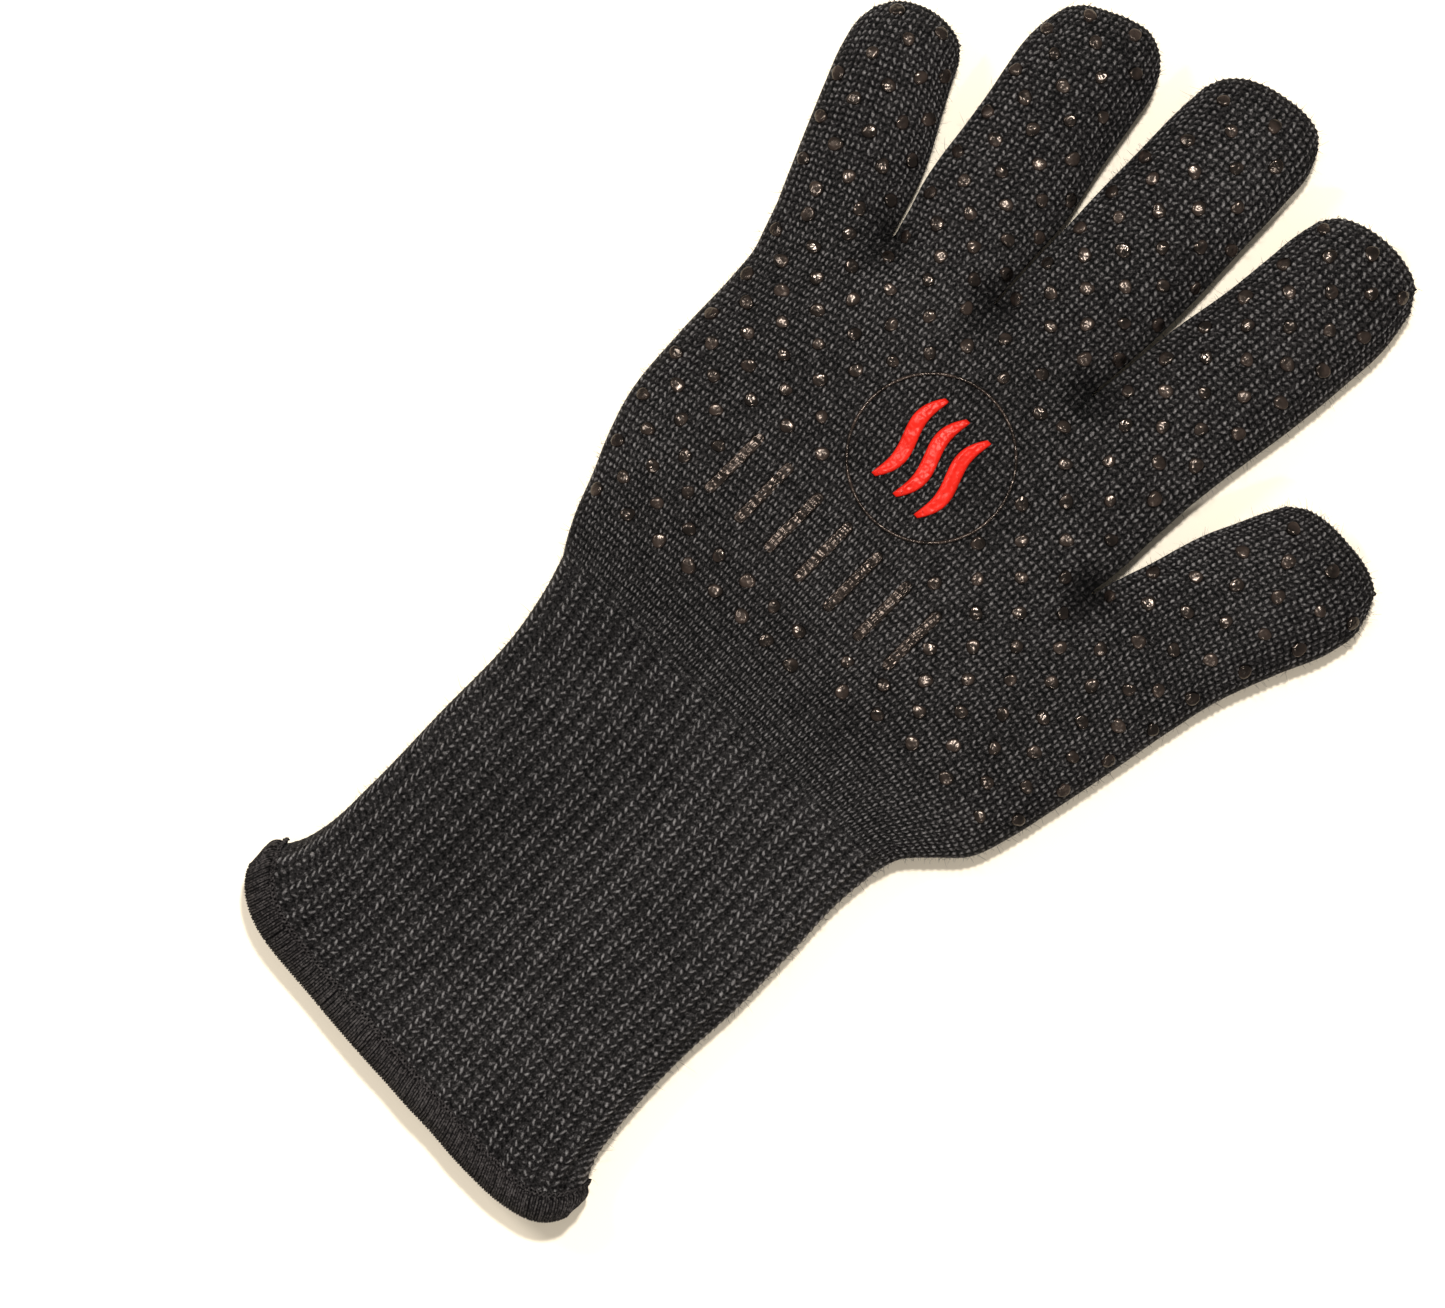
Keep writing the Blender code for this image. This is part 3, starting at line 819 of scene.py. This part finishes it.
def attach(obj, bodies, slot, *nodes):
    """Ties a piece to its body, or leaves it where it lies when it spans two bodies, and hides the CAD nodes
    that it stands for. slot is not used.
    """
    if len(bodies) == 1:
        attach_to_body(obj, *bodies)
    else:
        parent, child, joint = bodies
        start, end = bend_of(joint)
        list(start * MM)
        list(end * MM)
        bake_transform(obj)
    if nodes:
        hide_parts(*nodes)


def only_used(quads):
    """The points that quads use, and the quads with those points numbered from 0."""
    used, inverse = np.unique(quads, return_inverse=True)
    return used, inverse.reshape(-1, 4)


for i, (piece, bodies) in enumerate(PIECES.items()):
    used, quads = only_used(skin.quads[skin.owner == i])
    obj = make_object(
        piece, skin.points[used], [quads], knit, skin.high[used], skin.tone[used],
        skin_normals[used], skin.stitch[used],
    )
    attach(obj, bodies, "knit_shell", *STANDS_FOR[piece])


# ---- the lining ----

LINER_DEPTH = 3.2  # mm below the knit's bare surface
LINER_STEP = 3  # mesh steps of the skin per step of the lining


def lining_piece():
    rows = np.arange(0, THUMB_ROW + 1, LINER_STEP)
    columns = np.arange(0, KNOTS[-1] + 1, LINER_STEP)
    sheets = np.array(lower["bare"]) - np.array(lower["normal"]) * LINER_DEPTH
    points = sheets[:, rows][:, :, columns].reshape(-1, 3)
    points[:, :2] += SHIFT
    front, back = np.arange(len(points)).reshape(2, len(rows), len(columns))
    back[:, 0], back[:, -1] = front[:, 0], front[:, -1]
    used, quads = only_used(np.concatenate([grid_quads(front, True), grid_quads(back)]))
    points = points[used]
    high = 0.5 + 0.5 * np.sin(points[:, 0] * 3) * np.sin(points[:, 1] * 3)
    obj = make_object("hand_lining", points, [quads], lining, high)
    attach(obj, PIECES["cuff_knit"], "cotton_liner", "cuff_liner", "palm_liner")


lining_piece()


# ---- the hem ----

HEM_WIDTH = 4.7
HEM_OVER, HEM_UNDER = 1.8, 0.8  # mm that it reaches back over the knit and under the lining
HEM_SLACK = 0.35
HEM_PUFF = 0.75  # mm that its outer side bulges
HEM_SUNK = 0.32  # mm from its thread down to its cloth
HEM_FLAT = 0.44  # share of its profile on each side of the fold
HEM_STATIONS = 400  # one loop of thread at each
YARN_RADIUS = 0.3
CHAIN_PLACE = -2.4  # mm out of the mouth
CHAIN_LINK = 2.3  # mm of hem per chain stitch
CHAIN_STEPS = 8  # stations per chain stitch
YARN_LOW = 0.3  # the lowest that the hem's yarn may lie, clear of the floor


def tubes(paths, radius, up, sides=6):
    """Round yarn along each path: paths by points by 3. up is a rough outward direction at each point."""
    tangent = unit(np.gradient(paths, axis=1))
    side = unit(np.cross(tangent, up))
    out = np.cross(side, tangent)
    turn = np.arange(sides) * math.tau / sides
    ring = np.cos(turn)[:, None] * side[:, :, None, :] + np.sin(turn)[:, None] * out[:, :, None, :]
    points = (paths[:, :, None, :] + radius * ring).reshape(-1, 3)
    index = np.arange(len(points)).reshape(ring.shape[:3])
    # Painted highlight and shade: the yarn's outer side is made paler and its inner side darker
    high = np.broadcast_to(0.55 + 0.45 * np.sin(turn), index.shape).ravel()
    return points, [ring_quads(index)], high


def mouth_ring(count):
    """Evenly spaced stations round the cuff's mouth: point, outward normal, direction out of the mouth, and
    the length all round."""

    def around(sheets, row=0):
        return np.concatenate([sheets[0][row, :-1], sheets[1][row, :0:-1]])

    at = around(lower["bare"])
    out = unit(at - around(lower["bare"], 1))
    length = running_length(closed(at))
    want = np.linspace(0, length[-1], count, endpoint=False)
    at, normal, out = (
        np.stack([np.interp(want, length, closed(values)[:, i]) for i in range(3)], axis=1)
        for values in (at, around(lower["normal"]), out)
    )
    for _ in range(6):
        out = (out + np.roll(out, 1, axis=0) + np.roll(out, -1, axis=0)) / 3
    at[:, :2] += SHIFT
    return at, unit(normal), unit(out), length[-1]


def hem_profile(share):
    """The hem's surface from the knit round the edge to the lining, for share from 0 to 1: how far out of
    the mouth, how far along the outward normal, and how far round the fold."""
    half = LINER_DEPTH / 2 + HEM_SLACK
    edge = HEM_WIDTH - half
    turn = math.pi * np.clip((share - HEM_FLAT) / (1 - 2 * HEM_FLAT), 0, 1)
    outer = (edge + HEM_OVER) * share / HEM_FLAT - HEM_OVER
    inner = (edge + HEM_UNDER) * (1 - share) / HEM_FLAT - HEM_UNDER
    fold = edge + half * np.sin(turn)
    x = np.where(share < HEM_FLAT, outer, np.where(share > 1 - HEM_FLAT, inner, fold))
    puff = HEM_PUFF * np.sin(math.pi * np.clip(share / HEM_FLAT, 0, 1)) * (share < HEM_FLAT)
    return x, -LINER_DEPTH / 2 + half * np.cos(turn) + puff, turn


def hem_pieces():
    at, normal, out, length = mouth_ring(HEM_STATIONS)
    corner = 0.5 * np.exp(-(((at[:, 2] - MID) / 3.0) ** 2))[:, None]

    def placed(x, n):
        return at[:, None, :] + out[:, None, :] * x[..., None] + normal[:, None, :] * n[..., None]

    x, n, _ = hem_profile(np.linspace(0, 1, 15))
    base = placed(x[None, :], n - HEM_SUNK - corner)
    base[..., 2] = np.maximum(base[..., 2], 0.25)
    index = np.arange(base.size // 3).reshape(base.shape[:2])
    obj = make_object("hem_fold", base.reshape(-1, 3), [grid_quads(closed(index))], thread, 0.1)
    attach(obj, ("cuff",), "hem_thread")

    # One loop of thread over the edge at every station, leaning a little, and each a little different
    tangent = unit(np.roll(at, -1, axis=0) - np.roll(at, 1, axis=0))
    share = np.linspace(0.02, 0.98, 13)
    x, n, turn = hem_profile(share)
    each = (HEM_STATIONS, 1)
    jitter = rng.normal(0, 0.07, each) + rng.normal(0, 0.04, (HEM_STATIONS, len(share)))
    lift = rng.normal(0, 0.05, each) - 0.75 * np.exp(-share / 0.05)
    start = rng.normal(0, 0.35, each) * np.exp(-share / 0.1)
    paths = placed(x + start, n + lift - corner)
    paths += tangent[:, None, :] * ((share - 0.25) * 1.5 + jitter)[..., None]
    up = normal[:, None, :] * np.cos(turn)[:, None] + out[:, None, :] * np.sin(turn)[:, None]
    paths[..., 2] = np.maximum(paths[..., 2], YARN_LOW)
    points, quads, high = tubes(paths, YARN_RADIUS, up)
    tone = np.repeat(rng.normal(0, 1, HEM_STATIONS), len(points) // HEM_STATIONS)
    obj = make_object("hem_threads", points, quads, thread, high, tone)
    attach(obj, ("cuff",), "hem_thread", "cuff_hem")

    # The chain of needle thread along the hem's inner edge
    count = int(length / CHAIN_LINK) * CHAIN_STEPS
    at, normal, out, _ = mouth_ring(count)
    phase = np.arange(count) * math.tau / CHAIN_STEPS
    sway, wave = 0.62 * np.sin(phase)[:, None], 0.2 * np.cos(2 * phase)[:, None]
    paths = np.stack(
        [closed(at + out * (CHAIN_PLACE + way * sway) + normal * (0.3 + way * wave)) for way in (1, -1)]
    )
    paths[..., 2] = np.maximum(paths[..., 2], YARN_LOW)
    points, quads, high = tubes(paths, YARN_RADIUS, closed(normal))
    obj = make_object("hem_chain_stitch", points, quads, thread, high)
    attach(obj, ("cuff",), "hem_thread")


hem_pieces()


# ---- printed silicone ----

owner_of_point = np.full(len(skin.points), -1)
for j in range(4):
    owner_of_point[skin.quads[:, j]] = skin.owner

CELL = 4.0  # mm
NEAR = 2.0  # mm within which a place counts as on the surface
NEIGHBOURS = [(i, j) for i in (-1, 0, 1) for j in (-1, 0, 1)]


def cells_of(chosen):
    """The numbers of the chosen points of the skin, by the square cell of the plan that they lie in."""
    cells = {}
    ids = np.flatnonzero(chosen & (owner_of_point >= 0))
    for i, x, y in zip(ids, *np.floor(skin.bare[ids, :2] / CELL).astype(int).T):
        cells.setdefault((x, y), []).append(i)
    return cells


FRONT_CELLS = cells_of(skin.bare[:, 2] > MID + 0.5)
BACK_CELLS = cells_of(skin.bare[:, 2] < MID - 0.5)


def frames_at(xy, cells=FRONT_CELLS):
    """Bare surface point, normal, piece and stitch height at plan positions in the frame, in mm. The piece
    is -1 where there is no surface."""
    found = []
    for p in xy:
        x, y = np.floor(p / CELL).astype(int)
        near = np.array([i for dx, dy in NEIGHBOURS for i in cells.get((x + dx, y + dy), ())], int)
        gap = np.sum((skin.bare[near, :2] - p) ** 2, axis=1)
        if gap.min(initial=math.inf) > NEAR**2:
            found.append(([math.nan] * 3, [0, 0, 1], -1, 0))
            continue
        closest = np.argsort(gap)[:6]
        w = 1 / (gap[closest] + 0.02)
        w /= w.sum()
        ids = near[closest]
        at = [*p, w @ skin.bare[ids, 2]]
        found.append((at, unit(w @ bare_normals[ids]), owner_of_point[ids[0]], w @ skin.high[ids]))
    return [np.array(values) for values in zip(*found)]


EMBLEM_CENTRE = np.array([-8.0, 71.0])
EMBLEM_RADIUS = 21.5
WAVE_HEIGHT, WAVE_SPACING = 26.0, 7.4
BAR_CENTRE = np.array([-10.5, 35.5])
BAR_COUNT, BAR_SPACING, BAR_SIZE = 7, 10.4, (3.0, 20.0)
DOT_RADIUS = 1.8
DOT_GAP = 5.4  # the least between two dots' middles
DOT_EDGE = 2.1  # the least between a dot's middle and the edge of the glove
DOT_LOW = -0.35  # the lowest that the back's dots may reach, clear of the floor
PRINT_GAP = 2.2  # the least between a dot's middle and the emblem or the bars
# The dots are staggered in columns along the wales. Each zone has its first column, the wales between
# columns, its first row, the courses between rows, and whether even or odd places are printed.
DOT_ZONES = {
    "little": (1.0, 2.3, 114.8, 3.45, 1),
    "ring": (13.1, 2.0, 118.2, 3.6, 1),
    "middle": (25.2, 2.0, 116.3, 3.66, 0),
    "fore": (37.7, 1.95, 114.2, 3.64, 1),
    "thumb": (51.4, 2.45, 103.5, 3.9, 0),
    "palm": (1.4, 2.32, 64.5, 3.59, 0),
}
THUMB_SIDE = 34  # the palm's dots past this wale stand a little lower


def between(grid, row, column):
    """The plan position at a place between a grid's points."""
    r, c = int(row), int(column)
    v, u = row - r, column - c
    return (
        grid[r, c] * (1 - v) * (1 - u) + grid[r, c + 1] * (1 - v) * u
        + grid[r + 1, c] * v * (1 - u) + grid[r + 1, c + 1] * v * u
    )


def dot_places():
    """Every dot's plan position, in mm."""
    places = []
    for zone, (first, across, start, along, odd) in DOT_ZONES.items():
        palm = zone == "palm"
        if palm:
            grid, row0, low, high = plan, 0, 0, KNOTS[-1]
            bottom, top = start - 3, FINGER_FORK - 0.5
        else:
            k = NAMES.index(zone)
            grid, low, high = stall_grids[zone], KNOTS[k], KNOTS[k + 1]
            row0 = THUMB_ROW if zone == "thumb" else FORK_ROW
            bottom, top = row0 / STEPS, row0 / STEPS + STALL_COURSES[zone]
        for j, i in itertools.product(range(-1, 40), range(-3, 40)):
            wale, course = first + across * j, start + along * i
            if (i + j - odd) % 2 or palm and i < (1 if wale > THUMB_SIDE else 0):
                continue
            if palm and wale > THUMB_SIDE:
                course += -2.6 + 0.25 * (wale - 36)
            if palm and wale > KNOTS[4] / STEPS and course > THUMB_FORK:
                continue
            if low / STEPS + 0.2 < wale < high / STEPS - 0.2 and bottom < course < top:
                places.append(between(grid, course * STEPS - row0, wale * STEPS - low))
    return places


def all_dots():
    """Every dot's plan position in the frame, without those that touch another or the edge."""
    spots = []
    for p in dot_places():
        free = all(np.linalg.norm(p - q) > DOT_GAP for q in spots)
        if free and distance_to(p[None], *EDGES)[0] > DOT_EDGE:
            spots.append(p)
    return np.array(spots) + SHIFT


def clear_of_prints(spots):
    """The dots that keep clear of the emblem and the bars."""
    keep = np.linalg.norm(spots - EMBLEM_CENTRE, axis=1) > EMBLEM_RADIUS + PRINT_GAP
    off = np.abs(spots - BAR_CENTRE)
    wide = BAR_SPACING * (BAR_COUNT - 1) / 2 + 3.6
    return spots[keep & ~((off[:, 0] < wide) & (off[:, 1] < BAR_SIZE[1] / 2 + PRINT_GAP))]


# A dot's profile: share of its radius, and height in mm. The first two rings are sunk in the knit.
DOT_RINGS = np.array(
    [(1.02, -0.85), (1.0, -0.2), (0.97, 0), (0.87, 0.2), (0.68, 0.31), (0.42, 0.36), (0.18, 0.37)]
)
DOT_SIDES = 16


def domes(at, normal, seed):
    """A low printed dot at each place, none quite like another."""
    local = np.random.default_rng(seed)
    turn = np.arange(DOT_SIDES) * math.tau / DOT_SIDES
    share, z = DOT_RINGS.T[:, :, None]
    points = []
    for p, n in zip(at, normal):
        u = unit(np.cross(n, [0.0, 1.0, 0.0]))
        radius = local.normal(DOT_RADIUS, 0.09)
        tall = local.uniform(0.85, 1.2)
        out = 1 + 0.07 * np.sin(2 * turn + local.uniform(0, 6))
        out += 0.05 * np.sin(3 * turn + local.uniform(0, 6))
        tilt = local.normal(0, 0.05, 2)
        x, y = radius * share * out * np.cos(turn), radius * share * out * np.sin(turn)
        lift = z * tall + tilt[0] * x + tilt[1] * y
        lift[2:] += local.normal(0, 0.035, lift[2:].shape)
        points.append(p + x[..., None] * u + y[..., None] * np.cross(n, u) + lift[..., None] * n)
    index = np.arange(len(at) * share.size * DOT_SIDES).reshape(len(at), -1, DOT_SIDES)
    return np.reshape(points, (-1, 3)), [ring_quads(index), index[:, -1]]


def add_dots():
    spots = all_dots()
    sides = (("grip", clear_of_prints(spots), FRONT_CELLS), ("back", spots, BACK_CELLS))
    for side, (label, places, cells) in enumerate(sides):
        at, normal, owner, _ = frames_at(places, cells)
        for i, (piece, bodies) in enumerate(PIECES.items()):
            mine = owner == i
            if i == 0 or not mine.any():
                continue
            points, faces = domes(at[mine], normal[mine], 100 + 10 * i + side)
            if label == "back":
                points[:, 2] = np.maximum(points[:, 2], DOT_LOW)
            obj = make_object(piece.replace("_knit", f"_{label}_dots"), points, faces, dots_silicone)
            attach(obj, bodies, "black_silicone")


add_dots()


def print_patch(name, x, half, y, mat, slot, height=0.62, sunk=0.1):
    """Silicone printed within half of x at each y, rounded at its sides, following the palm."""
    piece = name + "_print"
    share = even(9)
    left, right = (np.stack([x + way * half, y], axis=1)[:, None, :] for way in (-1, 1))
    grid = left * (1 - share[:, None]) + right * share[:, None]
    n, m = shape = grid.shape[:2]
    at, normal, _, high = frames_at(grid.reshape(-1, 2))
    bumps = np.random.default_rng(len(piece)).normal(0, 0.035, shape)
    edge = np.minimum(share, 1 - share) * 2
    ends = np.minimum(np.arange(n), np.arange(n)[::-1])[:, None]
    rise = height * np.minimum(smooth(edge * 2.2 + 0.25), smooth(ends / 3.0 + 0.25)) ** 0.5 + bumps - 0.1
    rise -= sunk * (1 - high.reshape(shape))
    index = np.arange(n * m).reshape(shape)
    rim = np.concatenate([index[0], index[1:, -1], index[-1, -2::-1], index[-2:0:-1, 0]])
    points = np.concatenate([at + normal * rise.reshape(-1, 1), (at - normal * 0.8)[rim]])
    wall = np.stack([np.arange(n * m, len(points)), rim])
    obj = make_object(piece, points, [grid_quads(index), ring_quads(wall)], mat)
    attach(obj, ("palm",), slot, name)


def heat_wave(centre_x):
    """Its middle line's x, half its width, and y."""
    t = even(40)
    x = centre_x + 1.6 * np.sin(math.tau * t)
    half = 2.1 * np.sqrt(np.maximum(np.sin(math.pi * (0.03 + 0.94 * t)), 0))
    return x, half, EMBLEM_CENTRE[1] + (t - 0.5) * WAVE_HEIGHT


def grip_bar(centre_x):
    t = np.linspace(-1, 1, 42)
    half = BAR_SIZE[0] / 2 * np.sqrt(np.clip(1 - np.clip((np.abs(t) - 0.86) / 0.14, 0, 0.97) ** 2, 0, 1))
    return centre_x, half, BAR_CENTRE[1] + t * BAR_SIZE[1] / 2


for i, side in enumerate(("left", "centre", "right")):
    shape = heat_wave(EMBLEM_CENTRE[0] + (i - 1) * WAVE_SPACING)
    print_patch(f"heat_wave_{side}", *shape, red_silicone, "red_silicone")

for i in range(BAR_COUNT):
    shape = grip_bar(BAR_CENTRE[0] + (i - (BAR_COUNT - 1) / 2) * BAR_SPACING)
    print_patch(f"grip_bar_{i + 1}", *shape, black_silicone, "black_silicone", 0.26, 0.5)


def emblem_ring():
    """A thin raised line of silicone in a circle round the heat waves."""
    turn = np.linspace(0, math.tau, 361)[:-1]
    xy = EMBLEM_CENTRE + (EMBLEM_RADIUS - 0.45) * np.stack([np.cos(turn), np.sin(turn)], axis=1)
    at, normal, _, high = frames_at(xy)
    wobble = np.random.default_rng(5).normal(0, 0.05, len(at))
    at = at + normal * (0.02 + wobble + 0.2 * high)[:, None]
    points, quads, _ = tubes(closed(at)[None], 0.42, closed(normal), 8)
    obj = make_object("emblem_ring_print", points, quads, dots_silicone)
    attach(obj, ("palm",), "black_silicone", "emblem_ring")


emblem_ring()


# ---- loose fibres ----

FIBRE_SHARE = 0.085  # fibres per point of the skin
FIBRE_STEPS = np.array([0.0, 0.4, 0.75, 1.0])
FIBRE_WIDTHS = np.array([0.09, 0.08, 0.06, 0.03])


def fuzz():
    """Short, flat fibres that stand out from the yarn, most of them near the edges."""
    t = FIBRE_STEPS[:, None]
    for i, (piece, bodies) in enumerate(PIECES.items()):
        ids = np.flatnonzero(owner_of_point == i)
        local = np.random.default_rng(300 + i)
        edge = np.abs(skin.bare[ids, 2] - MID) < 5.5
        weight = np.where(edge, 9.0, 1.0) * (skin.high[ids] > 0.4)
        amount = int(len(ids) * FIBRE_SHARE)
        chosen = local.choice(ids, amount, replace=False, p=weight / weight.sum())
        way = unit(bare_normals[chosen] + local.normal(0, 0.8, (amount, 3)))[:, None, :]
        bend = local.normal(0, 0.6, (amount, 1, 3))
        length = local.gamma(2.6, 0.36, (amount, 1, 1)) + 0.35
        paths = skin.points[chosen][:, None, :] + way * (length * t) + bend * (length * t**2 * 0.5)
        paths[..., 2] = np.maximum(paths[..., 2], 0.05)
        side = unit(np.cross(np.gradient(paths, axis=1), local.normal(0, 1, (amount, 1, 3))))
        half = side * (FIBRE_WIDTHS[:, None] / 2)
        points = np.stack([paths - half, paths + half], axis=2)
        index = np.arange(points.size // 3).reshape(points.shape[:3])
        name = piece.replace("_knit", "_fibres")
        obj = make_object(name, points.reshape(-1, 3), [grid_quads(index)], fibre_yarn, 0.6)
        attach(obj, bodies, "knit_shell")


fuzz()


# ---- the stage ----

FLOOR_HALF = 3000.0  # mm
FLOOR_Z = -0.8
CAMERA_DISTANCE = 1.3
FRAME_WIDTH = 361.25  # mm across the photograph
LAMPS = {  # place in metres, size in metres, power in watts
    "key": ((-0.2, 0.3, 1.18), 0.1, 16.5),
    "side": ((-0.75, -0.1, 0.8), 0.25, 5.6),
    "low": ((0.6, -0.3, 0.95), 0.08, 3.4),
}


def floor():
    mat, _, shader = new_material("floor")
    set_inputs(shader, {"Base Color": (0.91, 0.8, 0.635, 1), "Roughness": 0.9, "Specular IOR Level": 0.0})
    corners = FLOOR_HALF * np.array([(-1, -1, 0), (1, -1, 0), (1, 1, 0), (-1, 1, 0)]) + (0, 0, FLOOR_Z)
    make_object("floor", corners, [np.array([[0, 1, 2, 3]])], mat)


def lights():
    world = bpy.data.worlds.new("studio")
    world.use_nodes = True
    set_inputs(world.node_tree.nodes["Background"], {"Color": (1.0, 0.985, 0.96, 1), "Strength": 0.42})
    bpy.context.scene.world = world
    for name, (place, size, power) in LAMPS.items():
        light = bpy.data.lights.new(name, "AREA")
        light.shape = "DISK"
        light.size = size
        light.energy = power
        lamp = add_object(name, light)
        lamp.location = place
        x, y, z = place
        lamp.rotation_euler = (math.acos(z / math.hypot(x, y, z)), 0, math.atan2(y, x) + math.pi / 2)


def camera():
    """Straight above the glove, turned as the photograph is."""
    data = bpy.data.cameras.new("camera")
    data.sensor_fit = "HORIZONTAL"
    data.sensor_width = 36.0
    data.lens = data.sensor_width * CAMERA_DISTANCE / (FRAME_WIDTH * MM)
    data.clip_end = 20
    obj = add_object("camera", data)
    centre = (np.array([-4.15, -9.10]) + SHIFT) * MM
    obj.location = (*centre, CAMERA_DISTANCE + MID * MM)
    obj.rotation_euler = (0, 0, math.radians(45))
    bpy.context.scene.camera = obj


floor()
lights()
camera()
bpy.context.scene.view_settings.view_transform = "Standard"
